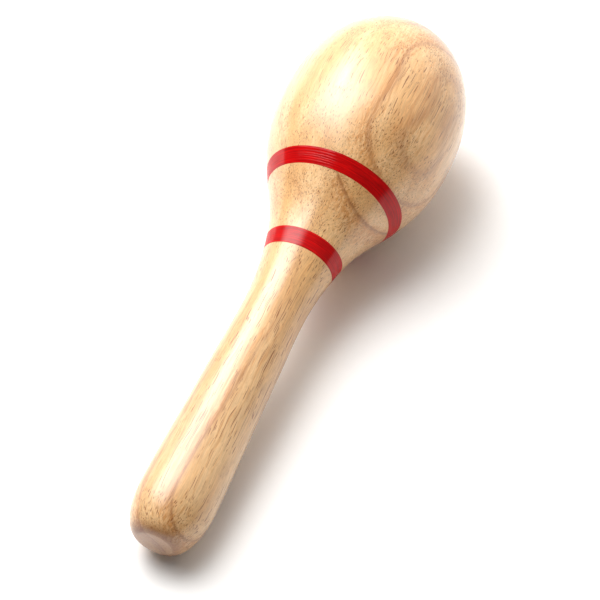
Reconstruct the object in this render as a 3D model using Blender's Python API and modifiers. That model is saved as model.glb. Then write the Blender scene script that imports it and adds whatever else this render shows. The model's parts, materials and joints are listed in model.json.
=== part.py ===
"""Turned wooden baby rattle, shaped like a small maraca and lying on its side. Metres, +Z up.

Handle, neck and hollow head are one turned piece of wood. The bead chamber is bored in from the
crown and closed by a glued wooden plug, whose outer face carries on the dome of the head. Two red
bands lie flush in shallow turned grooves. The beads in the chamber are loose.

The row frame has +X from the butt of the handle to the crown, and its origin on the table under
the middle of the rattle. Inside it, everything is placed from the turning axis: a station is a
distance along that axis from the butt end, and a radius is measured out from it.
"""

import math

import bpy
import numpy as np

# The turned outline.
LENGTH = 0.2000
BUTT_FLAT_RADIUS = 0.0051
BUTT_STATION = 0.0150  # the rounding of the butt ends here
BUTT_RADIUS = 0.0118
HANDLE_AND_NECK = (  # (station, radius), from the butt's rounding to the widest part of the head
    (0.040, 0.0111),
    (0.070, 0.0101),
    (0.087, 0.0098),
    (0.102, 0.0115),
    (0.116, 0.0153),
    (0.131, 0.0228),
    (0.145, 0.0280),
)
HEAD_STATION = 0.1600
HEAD_RADIUS = 0.0294
CROWN_SQUARENESS = 2.15  # the dome's exponent, where 2 would be an ellipse

# The red bands, as (node name, station of the edge nearer the butt, and of the other edge).
BANDS = (
    ("lower_red_band", 0.1023, 0.1079),
    ("upper_red_band", 0.1265, 0.1314),
)
BAND_THICKNESS = 0.0008

# The bead chamber and the plug that closes it.
CHAMBER_RADIUS = 0.0150
CHAMBER_FLOOR_STATION = 0.1380
CHAMBER_CORNER_RADIUS = 0.0020
SEAT_RADIUS = 0.0181
SEAT_STATION = 0.1820
GAP = 0.0003  # between one piece and the next

# The beads: one layer in rows along the rattle, each bead free to cross the chamber.
BEAD_RADIUS = 0.0030
BEAD_ROWS = 4
BEAD_ROW_PITCH = 0.0066
BEADS_PER_ROW = 6
BEAD_PITCH = 0.0065
BEAD_CLEARANCE = 0.0002  # to the chamber's wall and floor

# How finely round shapes are divided.
SEGMENTS = 48
BUTT_STEPS = 5
HANDLE_STEP = 0.0060
CROWN_STEPS = 12
CORNER_STEPS = 3
BAND_STEPS = 2
BEAD_SEGMENTS = 12
BEAD_RINGS = 8
MERGE_DISTANCE = 0.00001
SHARP_ANGLE = math.radians(35)

QUARTER_TURN = math.pi / 2
HALF_STEP = math.pi / SEGMENTS
APOTHEM = math.cos(HALF_STEP)  # how far out the middle of a facet is, for a radius of 1

COLORS = {  # linear red, green and blue, then roughness
    "lacquered_wood": ((0.71, 0.47, 0.25), 0.30),
    "plug_wood": ((0.66, 0.42, 0.21), 0.32),
    "red_paint": ((0.62, 0.012, 0.016), 0.22),
    "bead_plastic": ((0.80, 0.78, 0.72), 0.25),
}


def clear_scene():
    for leftover in list(bpy.data.objects):
        bpy.data.objects.remove(leftover, do_unlink=True)


def make_material(name):
    color, roughness = COLORS[name]
    material = bpy.data.materials.new(name)
    material.use_nodes = True
    shader = material.node_tree.nodes["Principled BSDF"]
    shader.inputs["Base Color"].default_value = (*color, 1.0)
    shader.inputs["Roughness"].default_value = roughness
    shader.inputs["Metallic"].default_value = 0.0
    return material


# ---- the outline -------------------------------------------------------------------------------


def handle_spline():
    """Stations, radii and slopes of the smoothest curve through the handle, level at both ends."""
    points = [(BUTT_STATION, BUTT_RADIUS), *HANDLE_AND_NECK, (HEAD_STATION, HEAD_RADIUS)]
    stations, radii = np.array(points).T
    span = np.diff(stations)
    rise = np.diff(radii) / span
    system = np.eye(len(points))
    target = np.zeros(len(points))
    for i in range(1, len(points) - 1):
        system[i, i - 1 : i + 2] = (
            1 / span[i - 1],
            2 / span[i - 1] + 2 / span[i],
            1 / span[i],
        )
        target[i] = 3 * (rise[i - 1] / span[i - 1] + rise[i] / span[i])
    return stations, radii, np.linalg.solve(system, target)


HANDLE_SPLINE = handle_spline()


def butt_radius_at(station):
    """A quarter of an ellipse, from the flat end out to the handle."""
    inward = (BUTT_STATION - station) / BUTT_STATION
    reach = BUTT_RADIUS - BUTT_FLAT_RADIUS
    return BUTT_FLAT_RADIUS + reach * math.sqrt(max(0.0, 1 - inward**2))


def handle_radius_at(station):
    stations, radii, slopes = HANDLE_SPLINE
    i = min(max(int(np.searchsorted(stations, station)) - 1, 0), len(stations) - 2)
    span = stations[i + 1] - stations[i]
    t = (station - stations[i]) / span
    return float(
        radii[i] * (1 + 2 * t) * (1 - t) ** 2
        + radii[i + 1] * t**2 * (3 - 2 * t)
        + slopes[i] * span * t * (1 - t) ** 2
        - slopes[i + 1] * span * t**2 * (1 - t)
    )


def crown_radius_at(station):
    rise = (station - HEAD_STATION) / (LENGTH - HEAD_STATION)
    inside = max(0.0, 1 - rise**CROWN_SQUARENESS)
    return HEAD_RADIUS * inside ** (1 / CROWN_SQUARENESS)


def crown_station_at(radius):
    inside = 1 - (radius / HEAD_RADIUS) ** CROWN_SQUARENESS
    return HEAD_STATION + (LENGTH - HEAD_STATION) * inside ** (1 / CROWN_SQUARENESS)


def radius_at(station):
    if station < BUTT_STATION:
        return butt_radius_at(station)
    if station < HEAD_STATION:
        return handle_radius_at(station)
    return crown_radius_at(station)


def arc_stations(start, end, steps):
    """Stations that crowd together towards the end, as equal steps along a quarter circle do."""
    turns = (QUARTER_TURN * i / steps for i in range(steps + 1))
    return [start + (end - start) * math.sin(turn) for turn in turns]


def even_stations(start, end, steps):
    return [start + (end - start) * i / steps for i in range(steps + 1)]


def surface(stations):
    return [(radius_at(station), station) for station in stations]


# ---- the profiles, as (radius, station) points -------------------------------------------------


def groove(low, high):
    """A shallow groove that holds a band with a gap all round it, from its upper lip down."""
    bottom = BAND_THICKNESS + GAP
    floor = [(r - bottom, s) for r, s in surface(even_stations(high + GAP, low - GAP, BAND_STEPS))]
    return surface([high + GAP]) + floor + surface([low - GAP])


def neck_and_handle():
    """The outside of the body below the head's widest point, from there down to the butt."""
    points = []
    above = HEAD_STATION
    for _, low, high in reversed(BANDS):
        steps = max(1, round((above - high - GAP) / HANDLE_STEP))
        points += surface(even_stations(above, high + GAP, steps))[:-1] + groove(low, high)[:-1]
        above = low - GAP
    steps = round((above - BUTT_STATION) / HANDLE_STEP)
    points += surface(even_stations(above, BUTT_STATION, steps))
    points += surface(arc_stations(BUTT_STATION, 0.0, BUTT_STEPS)[1:])
    return points


def chamber():
    """The inside of the body, from the middle of the chamber's floor out to the plug's seat."""
    corner = [
        (
            CHAMBER_RADIUS - CHAMBER_CORNER_RADIUS * (1 - math.sin(turn)),
            CHAMBER_FLOOR_STATION + CHAMBER_CORNER_RADIUS * (1 - math.cos(turn)),
        )
        for turn in (QUARTER_TURN * i / CORNER_STEPS for i in range(CORNER_STEPS + 1))
    ]
    return [
        (0.0, CHAMBER_FLOOR_STATION),
        *corner,
        (CHAMBER_RADIUS, SEAT_STATION),
        (SEAT_RADIUS, SEAT_STATION),
    ]


def body_profile():
    rim_station = crown_station_at(SEAT_RADIUS)
    crown = [s for s in arc_stations(HEAD_STATION, LENGTH, CROWN_STEPS) if s < rim_station]
    dome = surface([rim_station, *reversed(crown[1:])])
    return [*chamber(), *dome, *neck_and_handle(), (0.0, 0.0)]


def plug_profile():
    radius = SEAT_RADIUS - GAP
    edge_station = crown_station_at(radius)
    crown = [s for s in arc_stations(HEAD_STATION, LENGTH, CROWN_STEPS) if s > edge_station]
    inner_face = SEAT_STATION + GAP
    return [*surface([*reversed(crown), edge_station]), (radius, inner_face), (0.0, inner_face)]


def band_profile(low, high):
    """A closed ring: its outside lies in the outline, its inside follows the groove's floor."""
    outside = surface(even_stations(high, low, BAND_STEPS))
    inside = [(r - BAND_THICKNESS, s) for r, s in reversed(outside)]
    return [*outside, *inside, outside[0]]


# ---- the resting pose --------------------------------------------------------------------------


def resting_pose(points):
    """(lean, x, z): how far the axis leans up towards the crown when butt and head both touch the
    table, and where the butt's centre is with the origin under the middle of the rattle."""
    waist = min(HANDLE_AND_NECK, key=lambda point: point[1])[0]
    outer = [(r * APOTHEM, s) for r, s in points]
    lean = 0.0
    for _ in range(10):
        butt, head = (
            max(part, key=lambda point: point[0] * math.cos(lean) - point[1] * math.sin(lean))
            for part in (
                [point for point in outer if point[1] < waist],
                [point for point in outer if point[1] > waist],
            )
        )
        lean = math.atan2(head[0] - butt[0], head[1] - butt[1])
    ends = [s * math.cos(lean) + side * r * math.sin(lean) for r, s in outer for side in (-1, 1)]
    depth = max(r * math.cos(lean) - s * math.sin(lean) for r, s in outer)
    return lean, -(min(ends) + max(ends)) / 2, depth


def make_turning_axis(points):
    """An empty at the butt's centre, whose +Z runs along the rattle and whose +X points down."""
    lean, x, z = resting_pose(points)
    axis = bpy.data.objects.new("turning_axis", None)
    axis.location = (x, 0.0, z)
    axis.rotation_euler = (0.0, QUARTER_TURN - lean, 0.0)
    return axis


# ---- the pieces --------------------------------------------------------------------------------


def finish_piece(piece, material, axis, collection):
    piece.data.materials.append(material)
    piece.data.shade_smooth()
    piece.data.set_sharp_from_angle(angle=SHARP_ANGLE)
    piece.parent = axis
    collection.objects.link(piece)


def turned(name, profile):
    """The solid of a profile turned round the axis, with a facet and not an edge facing down."""
    mesh = bpy.data.meshes.new(name)
    points = [(radius, 0.0, station) for radius, station in profile]
    mesh.from_pydata(points, [(i, i + 1) for i in range(len(points) - 1)], [])
    piece = bpy.data.objects.new(name, mesh)
    bpy.context.scene.collection.objects.link(piece)
    screw = piece.modifiers.new("Turn", "SCREW")
    screw.steps = screw.render_steps = SEGMENTS
    screw.use_merge_vertices = True
    screw.merge_threshold = MERGE_DISTANCE
    graph = bpy.context.evaluated_depsgraph_get()
    solid = bpy.data.meshes.new_from_object(piece.evaluated_get(graph))
    piece.modifiers.clear()
    piece.data = solid
    solid.name = name
    bpy.data.meshes.remove(mesh)
    bpy.context.scene.collection.objects.unlink(piece)
    piece.rotation_euler.z = HALF_STEP
    return piece


def bead_mesh():
    bpy.ops.mesh.primitive_uv_sphere_add(
        segments=BEAD_SEGMENTS, ring_count=BEAD_RINGS, radius=BEAD_RADIUS
    )
    sphere = bpy.context.object
    mesh = sphere.data
    mesh.name = "bead"
    bpy.data.objects.remove(sphere)
    return mesh


def bead_places():
    """Each bead's centre along the turning axis's own X (down), Y (across) and Z (along)."""
    reach = CHAMBER_RADIUS - BEAD_RADIUS - BEAD_CLEARANCE
    first = CHAMBER_FLOOR_STATION + BEAD_RADIUS + BEAD_CLEARANCE
    for row in range(BEAD_ROWS):
        across = (row - (BEAD_ROWS - 1) / 2) * BEAD_ROW_PITCH
        for column in range(BEADS_PER_ROW):
            yield math.sqrt(reach**2 - across**2), across, first + column * BEAD_PITCH


def main():
    clear_scene()
    rattle = bpy.data.collections.new("baby_rattle")
    bpy.context.scene.collection.children.link(rattle)
    materials = {name: make_material(name) for name in COLORS}

    body = body_profile()
    plug = plug_profile()
    axis = make_turning_axis(body + plug)
    rattle.objects.link(axis)

    finish_piece(turned("wooden_body", body), materials["lacquered_wood"], axis, rattle)
    finish_piece(turned("crown_plug", plug), materials["plug_wood"], axis, rattle)
    for name, low, high in BANDS:
        band = turned(name, band_profile(low, high))
        finish_piece(band, materials["red_paint"], axis, rattle)

    shared = bead_mesh()
    for number, place in enumerate(bead_places(), start=1):
        bead = bpy.data.objects.new(f"bead_{number:02d}", shared)
        bead.location = place
        if number == 1:
            finish_piece(bead, materials["bead_plastic"], axis, rattle)
        else:
            bead.parent = axis
            rattle.objects.link(bead)


main()
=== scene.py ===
"""Looks of the turned wooden rattle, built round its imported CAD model.

Everything turned is made again here as a fine mesh in the turning frame, and then put where that
frame sits. Its +Z runs along the turning axis from the butt to the crown, and its +X points down to
the table. A station is a distance along that axis from the butt end. The wood is a solid procedural
material in the same frame, so growth rings, vessels and fibres run through the body as they do in a
real blank. Metres throughout.
"""

import json
import math

import bmesh
import bpy
import numpy as np
from mathutils import Matrix, Vector

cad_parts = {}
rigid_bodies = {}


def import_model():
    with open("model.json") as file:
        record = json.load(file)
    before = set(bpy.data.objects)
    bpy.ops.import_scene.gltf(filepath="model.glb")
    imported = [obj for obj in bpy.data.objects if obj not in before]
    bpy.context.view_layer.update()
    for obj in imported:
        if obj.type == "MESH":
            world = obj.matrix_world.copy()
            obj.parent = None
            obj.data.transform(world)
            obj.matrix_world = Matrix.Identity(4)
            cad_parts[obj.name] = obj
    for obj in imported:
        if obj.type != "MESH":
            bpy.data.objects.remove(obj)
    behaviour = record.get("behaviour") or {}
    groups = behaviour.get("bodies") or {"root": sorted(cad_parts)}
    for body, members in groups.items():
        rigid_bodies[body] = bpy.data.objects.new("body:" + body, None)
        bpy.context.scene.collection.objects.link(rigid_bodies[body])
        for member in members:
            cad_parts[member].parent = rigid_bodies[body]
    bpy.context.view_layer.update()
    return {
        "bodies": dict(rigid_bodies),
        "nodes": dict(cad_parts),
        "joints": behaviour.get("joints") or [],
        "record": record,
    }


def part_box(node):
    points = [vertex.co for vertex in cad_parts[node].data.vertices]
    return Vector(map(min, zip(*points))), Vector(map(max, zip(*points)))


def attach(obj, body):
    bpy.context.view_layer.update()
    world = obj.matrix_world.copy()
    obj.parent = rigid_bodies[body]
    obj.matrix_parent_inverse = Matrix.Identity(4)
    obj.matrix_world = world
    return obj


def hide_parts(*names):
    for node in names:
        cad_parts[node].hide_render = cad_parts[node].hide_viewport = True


# The turned outline, as in the CAD source.
LENGTH = 0.2000
BUTT_FLAT_RADIUS = 0.0051
BUTT_STATION = 0.0150
BUTT_RADIUS = 0.0118
HANDLE_AND_NECK = (
    (0.040, 0.0111),
    (0.070, 0.0101),
    (0.087, 0.0098),
    (0.102, 0.0115),
    (0.116, 0.0153),
    (0.131, 0.0228),
    (0.145, 0.0280),
)
HEAD_STATION = 0.1600
HEAD_RADIUS = 0.0294
CROWN_SQUARENESS = 2.15

CHAMBER_RADIUS = 0.0150
CHAMBER_FLOOR_STATION = 0.1380
CHAMBER_CORNER_RADIUS = 0.0020
SEAT_RADIUS = 0.0181
SEAT_STATION = 0.1820
GLUE_GAP = 0.00006  # round the plug
GLUE_DEPTH = 0.0004  # how far the eased rims reach down into that gap

BANDS = {  # node: (low station, high station, height of the paint's ridges)
    "lower_red_band": (0.1023, 0.1079, 0.000006),
    "upper_red_band": (0.1265, 0.1314, 0.000019),
}
PAINT_PROUD = 0.00006
PAINT_DEPTH = 0.0003
COARSE_RIDGE_PITCH = 0.00068
FINE_RIDGE_PITCH = 0.00031
RIDGE_DRIFT_PITCH = 0.0031

SEGMENTS = 192
STATION_STEP = 0.0008
ARC_STEPS = 24
SHARP_ANGLE = math.radians(35)
QUARTER_TURN = math.pi / 2

# The camera, and the point that it aims at, beside the top of the handle.
CAMERA_TARGET = Vector((-0.0115, -0.0070, 0.0250))
CAMERA_DISTANCE = 0.6137
CAMERA_AZIMUTH = math.radians(-66.61)
CAMERA_ELEVATION = math.radians(49.84)
CAMERA_LENS = 122.2
SENSOR_WIDTH = 36.0

# The pith, which the growth rings go round, runs beside the turning axis.
PITH_DISTANCE = 0.0180
PITH_ANGLE = math.radians(57)  # from straight down, towards +Y
RING_WANDER = 0.0004
RING_BULGE = 0.0060
RING_BULGE_STATION = 0.1600
RING_BULGE_WIDTH = 0.0260
RING_BULGE_STARTS = (0.028, 0.040)  # distances from the pith where it starts and is full
PLUG_CUT_FROM = (-0.012, 0.021, 0.300)  # the plug is cut from somewhere else in the tree
FIGURE_FROM = (0.632, -0.639, 0.163)  # where in the noise the wood's figure is taken from

# The studio: one big soft key above and behind the rattle, and a bright room past its crown.
KEY_DIRECTION = (0.22, 0.477, 0.850)
KEY_DISTANCE = 1.15
KEY_SIZE = (0.93, 1.17)
KEY_RADIANCE = 8.3
KEY_LAYERS = ((0.65, 0.40), (0.95, 0.35), (1.25, 0.25))  # each one's size and brightness
KEY_LAYER_STEP = 0.01
BRIGHT_SIDE = (0.97, 0.11, 0.22)
BRIGHT_SIDE_SPREAD = (-0.05, 1.0)  # cosines from it where the brightness starts and is full
WORLD_DIM = 0.125
WORLD_BRIGHT = 1.42
WORLD_COLOR = (1.0, 0.985, 0.96, 1.0)
WHITE = (1.0, 1.0, 1.0, 1.0)
FLOOR_HALF = 4.0
FLOOR_COLORS = ((0.88, 0.87, 0.86, 1.0), (0.90, 0.89, 0.88, 1.0))
FLOOR_SPECKLE_SIZE = (0.004, 0.004)


# ---- the outline -------------------------------------------------------------------------------


def handle_spline():
    """Stations, radii and slopes of the smoothest curve through the handle, level at both ends."""
    points = [(BUTT_STATION, BUTT_RADIUS), *HANDLE_AND_NECK, (HEAD_STATION, HEAD_RADIUS)]
    stations, radii = np.array(points).T
    span = np.diff(stations)
    rise = np.diff(radii) / span
    system = np.eye(len(points))
    target = np.zeros(len(points))
    for i in range(1, len(points) - 1):
        system[i, i - 1 : i + 2] = (
            1 / span[i - 1],
            2 / span[i - 1] + 2 / span[i],
            1 / span[i],
        )
        target[i] = 3 * (rise[i - 1] / span[i - 1] + rise[i] / span[i])
    return stations, radii, np.linalg.solve(system, target)


HANDLE_SPLINE = handle_spline()


def butt_radius_at(station):
    inward = (BUTT_STATION - station) / BUTT_STATION
    reach = BUTT_RADIUS - BUTT_FLAT_RADIUS
    return BUTT_FLAT_RADIUS + reach * math.sqrt(max(0.0, 1 - inward**2))


def handle_radius_at(station):
    stations, radii, slopes = HANDLE_SPLINE
    i = min(max(int(np.searchsorted(stations, station)) - 1, 0), len(stations) - 2)
    span = stations[i + 1] - stations[i]
    t = (station - stations[i]) / span
    return float(
        radii[i] * (1 + 2 * t) * (1 - t) ** 2
        + radii[i + 1] * t**2 * (3 - 2 * t)
        + slopes[i] * span * t * (1 - t) ** 2
        - slopes[i + 1] * span * t**2 * (1 - t)
    )


def crown_radius_at(station):
    rise = (station - HEAD_STATION) / (LENGTH - HEAD_STATION)
    inside = max(0.0, 1 - rise**CROWN_SQUARENESS)
    return HEAD_RADIUS * inside ** (1 / CROWN_SQUARENESS)


def crown_station_at(radius):
    inside = 1 - (radius / HEAD_RADIUS) ** CROWN_SQUARENESS
    return HEAD_STATION + (LENGTH - HEAD_STATION) * inside ** (1 / CROWN_SQUARENESS)


def radius_at(station):
    if station < BUTT_STATION:
        return butt_radius_at(station)
    if station < HEAD_STATION:
        return handle_radius_at(station)
    return crown_radius_at(station)


def surface(stations):
    return [(radius_at(station), station) for station in stations]


def arc_stations(start, end, steps):
    """Stations that crowd together towards the end, as equal steps along a quarter circle do."""
    turns = (QUARTER_TURN * i / steps for i in range(steps + 1))
    return [start + (end - start) * math.sin(turn) for turn in turns]


def even_stations(start, end, step):
    steps = max(1, round(abs(end - start) / step))
    return [start + (end - start) * i / steps for i in range(steps + 1)]


# ---- fine turned meshes ------------------------------------------------------------------------


def turned_mesh(name, frame, profile, closed=False, ridge=None):
    """The surface of (radius, station) points turned round the turning frame's Z, and put where
    that frame sits. A closed profile makes a ring; an open one starts and ends on the axis.
    ridge(angle, radius, station) adds to the radius."""
    angles = [2 * math.pi * i / SEGMENTS for i in range(SEGMENTS)]
    points, rows = [], []
    for radius, station in profile:
        if radius == 0:
            rows.append([len(points)] * SEGMENTS)
            points.append((0.0, 0.0, station))
            continue
        rows.append(range(len(points), len(points) + SEGMENTS))
        for angle in angles:
            r = radius + (ridge(angle, radius, station) if ridge else 0.0)
            points.append((r * math.cos(angle), r * math.sin(angle), station))
    if closed:
        rows.append(rows[0])
    faces = []
    for above, below in zip(rows, rows[1:]):
        for i in range(SEGMENTS):
            j = (i + 1) % SEGMENTS
            corners = (above[i], below[i], below[j], above[j])
            faces.append(tuple(dict.fromkeys(corners)))
    mesh = bpy.data.meshes.new(name)
    mesh.from_pydata(points, [], faces)
    mesh.validate()
    mesh.transform(frame)
    mesh.shade_smooth()
    mesh.set_sharp_from_angle(angle=SHARP_ANGLE)
    return mesh


def chamber_profile():
    corner = [
        (
            CHAMBER_RADIUS - CHAMBER_CORNER_RADIUS * (1 - math.sin(turn)),
            CHAMBER_FLOOR_STATION + CHAMBER_CORNER_RADIUS * (1 - math.cos(turn)),
        )
        for turn in (QUARTER_TURN * i / ARC_STEPS for i in range(ARC_STEPS + 1))
    ]
    return [
        (0.0, CHAMBER_FLOOR_STATION),
        *corner,
        (CHAMBER_RADIUS, SEAT_STATION),
        (SEAT_RADIUS, SEAT_STATION),
    ]


def body_profile():
    """From the middle of the chamber's floor, out over the eased rim and down the outside."""
    rim = crown_station_at(SEAT_RADIUS + GLUE_DEPTH)
    crown = [s for s in arc_stations(HEAD_STATION, LENGTH, 2 * ARC_STEPS) if s < rim]
    return [
        *chamber_profile(),
        (SEAT_RADIUS, rim - GLUE_DEPTH),
        (SEAT_RADIUS + 0.30 * GLUE_DEPTH, rim + 0.05 * GLUE_DEPTH),
        *surface([rim]),
        *surface(reversed(crown)),
        *surface(even_stations(HEAD_STATION, BUTT_STATION, STATION_STEP)[1:]),
        *surface(arc_stations(BUTT_STATION, 0.0, ARC_STEPS)[1:]),
        (0.0, 0.0),
    ]


def plug_profile():
    """From the crown down the plug's dome, over its eased edge and in across its hidden face."""
    radius = SEAT_RADIUS - GLUE_GAP
    rim = crown_station_at(radius - GLUE_DEPTH)
    crown = [s for s in arc_stations(HEAD_STATION, LENGTH, 3 * ARC_STEPS) if s > rim]
    inner_face = SEAT_STATION + GLUE_GAP
    return [
        *surface(reversed(crown)),
        *surface([rim]),
        (radius - 0.30 * GLUE_DEPTH, crown_station_at(radius) + 0.10 * GLUE_DEPTH),
        (radius, crown_station_at(radius) - GLUE_DEPTH),
        (radius, inner_face),
        (0.0, inner_face),
    ]


def band_profile(low, high):
    """A coat of paint with rounded edges, and its root sunk in the wood."""
    edge = 2 * PAINT_PROUD
    outside = [
        (radius_at(s) + PAINT_PROUD * min(1.0, (min(s - low, high - s) / edge) ** 0.5), s)
        for s in even_stations(high, low, STATION_STEP / 8)
    ]
    inside = [(radius_at(s) - PAINT_DEPTH, s) for s in even_stations(low, high, STATION_STEP)]
    return [*outside, *inside]


def paint_ridges(height):
    """A ridge for turned_mesh: the lines that a brush leaves as the work turns under it, stronger
    in some places round the ring than in others."""

    def ridge(angle, radius, station):
        if radius < radius_at(station):
            return 0.0
        turn = 2 * math.pi * station
        fade = 0.65 + 0.35 * math.sin(2 * angle + 1.3)
        drift = 0.9 * math.sin(angle + turn / RIDGE_DRIFT_PITCH)
        coarse = math.sin(turn / COARSE_RIDGE_PITCH + drift)
        fine = math.sin(turn / FINE_RIDGE_PITCH + 0.6 * math.sin(2 * angle))
        return height * fade * (coarse + 0.45 * fine)

    return ridge


# ---- building materials ------------------------------------------------------------------------


class Shader:
    """A material's node tree, with short ways to add to it. Values are sockets or constants.
    frame is where the pattern's own frame sits in the piece's."""

    def __init__(self, name, frame=Matrix()):
        self.frame = frame
        self.material = bpy.data.materials.new(name)
        self.material.use_nodes = True
        self.nodes = self.material.node_tree.nodes
        self.links = self.material.node_tree.links
        self.surface = self.nodes["Principled BSDF"]

    def add(self, kind, inputs, **settings):
        node = self.nodes.new(kind)
        for name, value in settings.items():
            setattr(node, name, value)
        for key, value in inputs.items():
            self.set(node.inputs[key], value)
        return node

    def set(self, socket, value):
        if isinstance(value, bpy.types.NodeSocket):
            self.links.new(value, socket)
        else:
            socket.default_value = value

    def finish(self, **inputs):
        """Sets the surface's inputs, whose names are written with _ for each space."""
        for name, value in inputs.items():
            self.set(self.surface.inputs[name.replace("_", " ")], value)
        return self.material

    def math(self, operation, a, b=0.0, c=0.0):
        inputs = {0: a, 1: b, 2: c}
        return self.add("ShaderNodeMath", inputs, operation=operation).outputs[0]

    def vector(self, operation, a, b=(0.0, 0.0, 0.0)):
        node = self.add("ShaderNodeVectorMath", {0: a, 1: b}, operation=operation)
        return node.outputs["Value" if operation == "LENGTH" else "Vector"]

    def ramp(self, value, low, high, start=0.0, end=1.0):
        """start where value is low, end where it is high, and a smooth change between them."""
        inputs = {"Value": value, 1: low, 2: high, 3: start, 4: end}
        node = self.add("ShaderNodeMapRange", inputs, interpolation_type="SMOOTHSTEP")
        return node.outputs["Result"]

    def blend(self, factor, a, b, how="MIX"):
        inputs = {0: factor, 6: a, 7: b}
        node = self.add("ShaderNodeMix", inputs, data_type="RGBA", blend_type=how)
        return node.outputs[2]

    def into_frame(self, vector, origin):
        """A vector of the piece's frame, seen from the pattern's frame at that origin."""
        inputs = {"Vector": vector, "Location": origin, "Rotation": self.frame.to_euler()}
        node = self.add("ShaderNodeMapping", inputs, vector_type="TEXTURE")
        return node.outputs["Vector"]

    def place(self):
        """The point in the pattern's frame."""
        point = self.add("ShaderNodeTexCoord", {}).outputs["Object"]
        return self.into_frame(point, self.frame.translation)

    def facing(self):
        """The surface's direction in the pattern's frame."""
        direction = self.add("ShaderNodeTexCoord", {}).outputs["Normal"]
        return self.into_frame(direction, (0.0, 0.0, 0.0))

    def stretched(self, point, size):
        """The point counted in grains whose size is (across, along) the turning axis."""
        across, along = size
        return self.vector("MULTIPLY", point, (1 / across, 1 / across, 1 / along))

    def noise(self, point, size, detail=2.0, roughness=0.5):
        inputs = {
            "Vector": self.stretched(point, size),
            "Scale": 1.0,
            "Detail": detail,
            "Roughness": roughness,
        }
        return self.add("ShaderNodeTexNoise", inputs).outputs[0]

    def tinted(self, color, tone):
        """The colour made lighter or darker by a factor."""
        node = self.add("ShaderNodeVectorMath", {0: color, "Scale": tone}, operation="SCALE")
        return node.outputs["Vector"]

    def along(self, direction):
        """A direction's part along the turning axis."""
        return self.add("ShaderNodeSeparateXYZ", {0: direction}).outputs["Z"]

    def bump(self, height, depth):
        """A bump where height 1 stands out by depth, in metres."""
        inputs = {"Height": height, "Distance": depth, "Strength": 1.0}
        return self.add("ShaderNodeBump", inputs).outputs["Normal"]


# ---- the wood ----------------------------------------------------------------------------------

CREAM = (0.79, 0.500, 0.243, 1.0)
TAN = (0.68, 0.375, 0.142, 1.0)
LATE_WOOD = (0.58, 0.265, 0.080, 1.0)
RING_BROWN = (0.30, 0.105, 0.024, 1.0)
VESSEL_BROWN = (0.24, 0.072, 0.008, 1.0)
END_GRAIN = (0.47, 0.31, 0.17, 1.0)  # multiplies the colour where fibres are cut across
SPECKLE = (0.62, 0.50, 0.40, 1.0)  # multiplies the colour in the fine darker grains

GROWTH_RINGS = (  # distance of a ring's outer edge from the pith, and how dark it is
    (0.0118, 0.20),
    (0.0196, 0.25),
    (0.0272, 0.25),
    (0.0347, 1.00),
    (0.0391, 0.72),
    (0.0413, 0.42),
)
RINGS_SPAN = 0.0600  # more than any distance from the pith
LATE_WOOD_STOPS = ((-0.0032, 0.0), (-0.0004, 1.0), (0.0009, 0.0))
RING_LINE_STOPS = ((-0.0004, 0.0), (-0.00005, 1.0), (0.00015, 0.0))

# How wide and how long the grains of each part of the wood's figure are.
WANDER_SIZE = (0.022, 0.045)
BEND_SIZE = (0.020, 0.080)
BEND_REACH = 0.0024
BROAD_SIZE = (0.008, 0.070)
STREAK_SIZE = (0.0008, 0.034)
FIBRE_SIZE = (0.00030, 0.0060)
SPECKLE_SIZE = (0.00035, 0.00110)
BLOTCH_SIZE = (0.0055, 0.012)
SMALL_VESSELS = (0.00052, 0.00012)  # spacing and radius
LARGE_VESSELS = (0.00095, 0.000145)
VESSEL_SIZES = (0.6, 0.6)  # the smallest one's share of that radius, and how much others add
VESSEL_WALL = 0.4  # the share of the radius over which a vessel deepens
VESSEL_OPENS_OVER = 0.06
OPEN_SHARE = (0.24, 0.60)  # where vessels are sparse, and how much crowding adds

# How a noise turns into a factor: its low and high value, and the factor at each of them, which
# is 0 and 1 where none is given.
NOISE_RANGE = (0.30, 0.70)
TAN_AREAS = (0.35, 0.68)
TAN_STREAKS = (0.46, 0.70)
DARK_STREAKS = (0.56, 0.76, 0.0, 0.80)
LATE_WOOD_BREAKS = (0.35, 0.65, 0.35, 1.80)
RING_LINE_BREAKS = (0.30, 0.60, 0.75, 1.0)
FIBRE_TONES = (*NOISE_RANGE, 1.09, 0.87)
SPECKLES_SHOW = (0.45, 0.75)
CROWDED_AREAS = (0.36, 0.64)

# The same for a place: along the axis, towards +Y, and away from the pith.
# painted shade: the handle's colour darkens towards the butt, standing in for the key's light
# falling off there
HANDLE_PAINTED_SHADE = (0.03, 0.14, 0.87, 1.0)
BUTT_RINGS = (0.02, 0.09, 2.0, 0.0)
# painted highlight: the outer rings fade towards +Y, the key's side, standing in for the highlight
# that washes them out
RINGS_FADE_IN_HIGHLIGHT = (-0.007, 0.000)
RINGS_THAT_FADE = (0.029, 0.032)
FADED_BY = 0.85

# The same for how squarely the surface cuts the fibres, which is 1 on end grain.
END_GRAIN_SHOWS = (0.40, 0.93)
SPECKLE_DEPTH = (0.0, 0.5, 0.30, 0.75)
# painted reflection: the butt's flat is kept paler, standing in for the pale floor that it mirrors
BUTT_FLAT_REFLECTION = (-0.995, -0.975, 0.28, 0.0)  # by its direction, which is -1 at the butt


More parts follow.
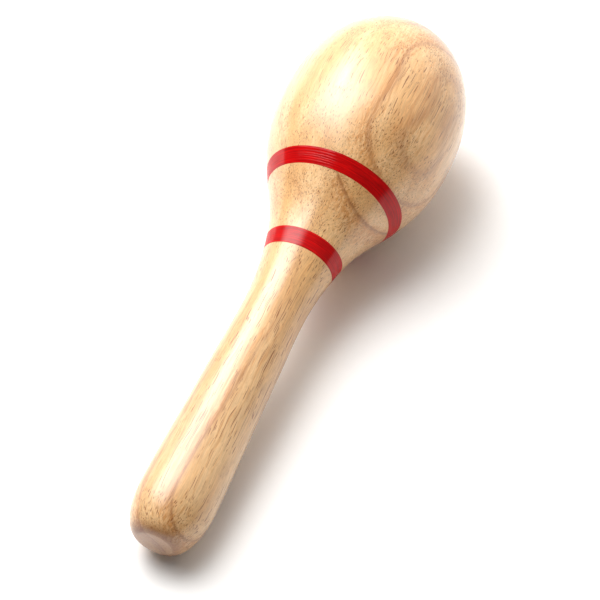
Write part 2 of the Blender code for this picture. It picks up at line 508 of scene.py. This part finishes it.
def distance_from_pith(shader, point):
    """How far out from the tree's middle a point lies, on rings that wander a little and bulge
    outwards round the head."""
    pith = (PITH_DISTANCE * math.cos(PITH_ANGLE), PITH_DISTANCE * math.sin(PITH_ANGLE), 0.0)
    flat = shader.vector("MULTIPLY", shader.vector("SUBTRACT", point, pith), (1.0, 1.0, 0.0))
    wander = shader.noise(point, WANDER_SIZE, detail=1.0)
    wander = shader.math("MULTIPLY", shader.math("SUBTRACT", wander, 0.5), RING_WANDER)
    distance = shader.math("ADD", shader.vector("LENGTH", flat), wander)
    off_centre = shader.math("SUBTRACT", shader.along(point), RING_BULGE_STATION)
    off_centre = shader.math("DIVIDE", off_centre, RING_BULGE_WIDTH)
    squared = shader.math("MULTIPLY", off_centre, off_centre)
    bell = shader.math("EXPONENT", shader.math("MULTIPLY", squared, -1.0))
    reach = shader.ramp(distance, *RING_BULGE_STARTS, 0.0, RING_BULGE)
    bulge = shader.math("MULTIPLY", bell, reach)
    return shader.math("SUBTRACT", distance, bulge)


def ring_ramp(shader, distance, stops_of_ring):
    """A value over the distance from the pith, from each ring's own (offset, value) stops."""
    node = shader.add("ShaderNodeValToRGB", {0: shader.math("DIVIDE", distance, RINGS_SPAN)})
    elements = node.color_ramp.elements
    elements.remove(elements[1])
    elements[0].position = 0.0
    elements[0].color = (0.0, 0.0, 0.0, 1.0)
    ended = 0.0
    for edge, darkness in GROWTH_RINGS:
        for offset, value in stops_of_ring:
            ended = max(ended, edge + offset)
            stop = elements.new(ended / RINGS_SPAN)
            stop.color = (value * darkness,) * 3 + (1.0,)
    return node.outputs["Color"]


def strength_of_rings(shader, point, distance):
    """The outer rings fade out towards +Y, the side that the key lights, a painted highlight that
    stands in for the figure washed out there, and all of them darken at the butt.
    """
    side = shader.add("ShaderNodeSeparateXYZ", {0: point}).outputs["Y"]
    outer = shader.ramp(distance, *RINGS_THAT_FADE)
    fade = shader.math("MULTIPLY", shader.ramp(side, *RINGS_FADE_IN_HIGHLIGHT), outer)
    remaining = shader.math("MULTIPLY_ADD", fade, -FADED_BY, 1.0)
    return shader.math("ADD", remaining, shader.ramp(shader.along(point), *BUTT_RINGS))


def vessels(shader, point, spacing, radius, share):
    """1 inside the wood's open vessels, which are fine tubes along the grain. A tube is open only
    where the share of open ones, a value from 0 to 1, is over its own random number."""
    inputs = {"Vector": shader.stretched(point, (spacing, 1.0)), "Scale": 1.0}
    tubes = shader.add("ShaderNodeTexVoronoi", inputs, voronoi_dimensions="2D")
    random = shader.add("ShaderNodeSeparateColor", {0: tubes.outputs["Color"]}).outputs
    over = shader.math("SUBTRACT", share, random[0])
    is_open = shader.ramp(over, 0.0, VESSEL_OPENS_OVER)
    size = radius / spacing
    least, more = VESSEL_SIZES
    own_size = shader.math("MULTIPLY_ADD", random[1], more * size, least * size)
    depth = shader.math("SUBTRACT", own_size, tubes.outputs["Distance"])
    return shader.math("MULTIPLY", shader.ramp(depth, 0.0, VESSEL_WALL * size), is_open)


def ringed_color(shader, point, streaks, broad):
    """The colour of clean long grain: cream to tan, with late wood and lines at the rings."""
    distance = distance_from_pith(shader, point)
    late = ring_ramp(shader, distance, LATE_WOOD_STOPS)
    ring = ring_ramp(shader, distance, RING_LINE_STOPS)
    strength = strength_of_rings(shader, point, distance)
    late = shader.math("MULTIPLY", late, shader.ramp(streaks, *LATE_WOOD_BREAKS))
    ring = shader.math("MULTIPLY", ring, shader.ramp(streaks, *RING_LINE_BREAKS))

    color = shader.blend(shader.ramp(broad, *TAN_AREAS), CREAM, TAN)
    color = shader.blend(shader.ramp(streaks, *TAN_STREAKS), color, TAN)
    color = shader.blend(shader.ramp(streaks, *DARK_STREAKS), color, LATE_WOOD)
    color = shader.blend(shader.math("MULTIPLY", late, strength), color, LATE_WOOD)
    return shader.blend(shader.math("MULTIPLY", ring, strength), color, RING_BROWN)


def with_end_grain(shader, color, speckles):
    """The colour made darker and speckled where the turned surface cuts across the fibres, but
    less so on the flat of the butt, which is kept paler as a painted reflection of the pale floor."""
    towards_crown = shader.along(shader.facing())
    cut = shader.math("ABSOLUTE", towards_crown)
    # painted reflection: less end-grain darkening on the butt's flat
    flat_reflection = shader.ramp(towards_crown, *BUTT_FLAT_REFLECTION)
    end = shader.math("SUBTRACT", shader.ramp(cut, *END_GRAIN_SHOWS), flat_reflection)
    depth = shader.ramp(cut, *SPECKLE_DEPTH)
    speckle = shader.math("MULTIPLY", shader.ramp(speckles, *SPECKLES_SHOW), depth)
    color = shader.blend(speckle, color, SPECKLE, how="MULTIPLY")
    return shader.blend(end, color, END_GRAIN, how="MULTIPLY")


def wood(name, frame, offset):
    """Pale hardwood under clear lacquer, cut from the place in the tree that offset says."""
    shader = Shader(name, frame)
    point = shader.vector("ADD", shader.place(), offset)
    figure = shader.vector("ADD", point, FIGURE_FROM)
    bend = shader.add("ShaderNodeTexNoise", {"Vector": shader.stretched(figure, BEND_SIZE)})
    bend = shader.vector("SUBTRACT", bend.outputs["Color"], (0.5, 0.5, 0.5))
    bend = shader.vector("MULTIPLY", bend, (BEND_REACH, BEND_REACH, 0.0))
    grain = shader.vector("ADD", figure, bend)

    broad = shader.noise(grain, BROAD_SIZE)
    streaks = shader.noise(grain, STREAK_SIZE, detail=3.0, roughness=0.65)
    fibres = shader.noise(grain, FIBRE_SIZE)
    speckles = shader.noise(grain, SPECKLE_SIZE, roughness=0.7)
    blotches = shader.noise(figure, BLOTCH_SIZE, detail=2.5)

    color = ringed_color(shader, point, streaks, broad)
    color = shader.tinted(color, shader.ramp(fibres, *FIBRE_TONES))
    # painted shade: the handle is made darker than the head, as the key's light falls off towards
    # the butt
    color = shader.tinted(color, shader.ramp(shader.along(point), *HANDLE_PAINTED_SHADE))
    color = with_end_grain(shader, color, speckles)

    crowding = shader.ramp(blotches, *CROWDED_AREAS)
    color = shader.tinted(color, shader.math("MULTIPLY_ADD", crowding, -0.10, 1.11))
    sparse, more = OPEN_SHARE
    share = shader.math("MULTIPLY_ADD", crowding, more, sparse)
    small = vessels(shader, grain, *SMALL_VESSELS, share)
    large = vessels(shader, grain, *LARGE_VESSELS, share)
    hollow = shader.math("MAXIMUM", shader.math("MULTIPLY", small, 0.85), large)
    color = shader.blend(shader.math("MULTIPLY", hollow, 0.95), color, VESSEL_BROWN)

    height = shader.math("SUBTRACT", shader.math("MULTIPLY", fibres, 0.12), hollow)
    return shader.finish(
        Base_Color=color,
        Roughness=0.50,
        Normal=shader.bump(height, 0.000016),
        Coat_Weight=1.0,
        Coat_Roughness=0.20,
        Coat_IOR=1.5,
        Coat_Normal=shader.bump(height, 0.000006),
    )


# ---- the paint and the beads -------------------------------------------------------------------

DEEP_RED = (0.33, 0.000, 0.001, 1.0)
BRIGHT_RED = (0.60, 0.002, 0.002, 1.0)
BRUSHED_SIZE = (0.009, 0.00016)
PATCH_SIZE = (0.004, 0.0015)

IVORY = (0.84, 0.80, 0.70, 1.0)
DULL_IVORY = (0.76, 0.71, 0.60, 1.0)
CLOUD_SIZE = (0.0015, 0.0015)
SCUFF_SIZE = (0.0002, 0.0012)


def red_paint(frame):
    """Brushed gloss enamel: faint streaks round the ring, and a slightly uneven coat."""
    shader = Shader("red_paint", frame)
    point = shader.place()
    streaks = shader.noise(point, BRUSHED_SIZE)
    patches = shader.noise(point, PATCH_SIZE)
    color = shader.blend(shader.ramp(streaks, *NOISE_RANGE), DEEP_RED, BRIGHT_RED)
    color = shader.tinted(color, shader.ramp(patches, *NOISE_RANGE, 0.92, 1.05))
    height = shader.math("ADD", streaks, shader.math("MULTIPLY", patches, 0.5))
    return shader.finish(
        Base_Color=color,
        Roughness=shader.ramp(patches, *NOISE_RANGE, 0.30, 0.40),
        Normal=shader.bump(height, 0.000012),
        Specular_IOR_Level=0.0,
        Coat_Weight=0.58,
        Coat_Roughness=0.12,
        Coat_IOR=1.5,
        Coat_Normal=shader.bump(height, 0.000010),
    )


def bead_plastic():
    """Moulded ivory plastic, faintly clouded and scuffed."""
    shader = Shader("bead_plastic")
    point = shader.place()
    cloud = shader.noise(point, CLOUD_SIZE, detail=3.0)
    scuffs = shader.noise(point, SCUFF_SIZE, detail=3.0)
    return shader.finish(
        Base_Color=shader.blend(cloud, IVORY, DULL_IVORY),
        Roughness=shader.ramp(scuffs, 0.35, 0.70, 0.22, 0.42),
        Normal=shader.bump(scuffs, 0.000006),
    )


# ---- the pieces --------------------------------------------------------------------------------


def turning_frame(record):
    """Where the turning frame sits: its origin at the butt's centre, and its axes' directions."""
    butt = next(mount for mount in record["mounts"] if mount["name"] == "butt_face")
    along = -Vector(butt["axis"]).normalized()
    across = Vector((0.0, 1.0, 0.0))
    down = across.cross(along)
    frame = Matrix((down, across, along)).transposed().to_4x4()
    frame.translation = Vector(butt["pos_m"])
    return frame


def add_piece(name, mesh, material, body, node, place=Vector()):
    mesh.materials.append(material)
    piece = bpy.data.objects.new(name, mesh)
    piece.location = place
    bpy.context.scene.collection.objects.link(piece)
    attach(piece, body)
    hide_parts(node)


def add_turned_pieces(frame):
    body_wood = wood("lacquered_wood", frame, (0.0, 0.0, 0.0))
    plug_wood = wood("lacquered_plug_wood", frame, PLUG_CUT_FROM)
    paint = red_paint(frame)
    body = turned_mesh("turned_body", frame, body_profile())
    add_piece("turned_body", body, body_wood, "rattle", "wooden_body")
    plug = turned_mesh("turned_plug", frame, plug_profile())
    add_piece("turned_plug", plug, plug_wood, "rattle", "crown_plug")
    for node, (low, high, ridge_height) in BANDS.items():
        name = node.replace("band", "paint")
        ridge = paint_ridges(ridge_height)
        mesh = turned_mesh(name, frame, band_profile(low, high), closed=True, ridge=ridge)
        add_piece(name, mesh, paint, "rattle", node)


def bead_mesh(radius):
    mesh = bpy.data.meshes.new("bead")
    ball = bmesh.new()
    bmesh.ops.create_icosphere(ball, subdivisions=4, radius=radius)
    ball.to_mesh(mesh)
    ball.free()
    mesh.shade_smooth()
    return mesh


def add_beads(record):
    """A smooth ball in each bead's place, which its own box gives."""
    plastic = bead_plastic()
    for body, nodes in record["behaviour"]["bodies"].items():
        if not body.startswith("bead"):
            continue
        low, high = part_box(nodes[0])
        mesh = bead_mesh((high.y - low.y) / 2)
        middle = (low + high) / 2
        add_piece(f"round_{body}", mesh, plastic, body, nodes[0], middle)


# ---- the stage ---------------------------------------------------------------------------------


def add_camera():
    data = bpy.data.cameras.new("camera")
    data.lens = CAMERA_LENS
    data.sensor_width = SENSOR_WIDTH
    data.clip_start = 0.01
    data.clip_end = 50.0
    camera = bpy.data.objects.new("camera", data)
    flat = math.cos(CAMERA_ELEVATION)
    back = Vector(
        (
            math.sin(CAMERA_AZIMUTH) * flat,
            -math.cos(CAMERA_AZIMUTH) * flat,
            math.sin(CAMERA_ELEVATION),
        )
    )
    camera.location = CAMERA_TARGET + back * CAMERA_DISTANCE
    camera.rotation_mode = "QUATERNION"
    camera.rotation_quaternion = back.to_track_quat("Z", "Y")
    bpy.context.scene.collection.objects.link(camera)
    bpy.context.scene.camera = camera


def add_key():
    """A softbox with soft edges: lights one behind another, each larger and dimmer."""
    away = Vector(KEY_DIRECTION).normalized()
    for number, (scale, share) in enumerate(KEY_LAYERS):
        data = bpy.data.lights.new(f"key_{number}", "AREA")
        data.shape = "RECTANGLE"
        data.size, data.size_y = (side * scale for side in KEY_SIZE)
        data.energy = math.pi * data.size * data.size_y * KEY_RADIANCE * share
        light = bpy.data.objects.new(data.name, data)
        light.location = CAMERA_TARGET + away * (KEY_DISTANCE + KEY_LAYER_STEP * number)
        light.rotation_mode = "QUATERNION"
        light.rotation_quaternion = away.to_track_quat("Z", "Y")
        bpy.context.scene.collection.objects.link(light)


def add_floor():
    shader = Shader("white_floor")
    speckle = shader.noise(shader.place(), FLOOR_SPECKLE_SIZE)
    material = shader.finish(
        Base_Color=shader.blend(speckle, *FLOOR_COLORS),
        Roughness=0.7,
        Specular_IOR_Level=0.2,
    )
    mesh = bpy.data.meshes.new("floor")
    signs = ((-1, -1), (1, -1), (1, 1), (-1, 1))
    corners = [(FLOOR_HALF * x, FLOOR_HALF * y, 0.0) for x, y in signs]
    mesh.from_pydata(corners, [], [(0, 1, 2, 3)])
    mesh.materials.append(material)
    floor = bpy.data.objects.new("floor", mesh)
    bpy.context.scene.collection.objects.link(floor)


def add_world():
    """Dim all round, bright past the crown, and plain white where the camera sees it."""
    world = bpy.data.worlds.new("studio")
    world.use_nodes = True
    bpy.context.scene.world = world
    nodes, links = world.node_tree.nodes, world.node_tree.links
    place = nodes.new("ShaderNodeTexCoord")
    dot = nodes.new("ShaderNodeVectorMath")
    dot.operation = "DOT_PRODUCT"
    dot.inputs[1].default_value = Vector(BRIGHT_SIDE).normalized()
    links.new(place.outputs["Generated"], dot.inputs[0])
    ramp = nodes.new("ShaderNodeMapRange")
    ramp.interpolation_type = "SMOOTHSTEP"
    links.new(dot.outputs["Value"], ramp.inputs["Value"])
    levels = (*BRIGHT_SIDE_SPREAD, WORLD_DIM, WORLD_BRIGHT)
    for socket, value in zip(ramp.inputs[1:5], levels):
        socket.default_value = value
    room = nodes["Background"]
    room.inputs["Color"].default_value = WORLD_COLOR
    links.new(ramp.outputs["Result"], room.inputs["Strength"])
    white = nodes.new("ShaderNodeBackground")
    white.inputs["Strength"].default_value = 1.0
    white.inputs["Color"].default_value = WHITE
    path = nodes.new("ShaderNodeLightPath")
    mix = nodes.new("ShaderNodeMixShader")
    links.new(path.outputs["Is Camera Ray"], mix.inputs[0])
    links.new(room.outputs[0], mix.inputs[1])
    links.new(white.outputs[0], mix.inputs[2])
    links.new(mix.outputs[0], nodes["World Output"].inputs["Surface"])


def main():
    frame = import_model()
    add_camera()
    add_floor()
    add_world()
    add_key()
    add_turned_pieces(turning_frame(frame["record"]))
    add_beads(frame["record"])
    view = bpy.context.scene.view_settings
    view.view_transform = "Standard"
    view.look = "None"


main()
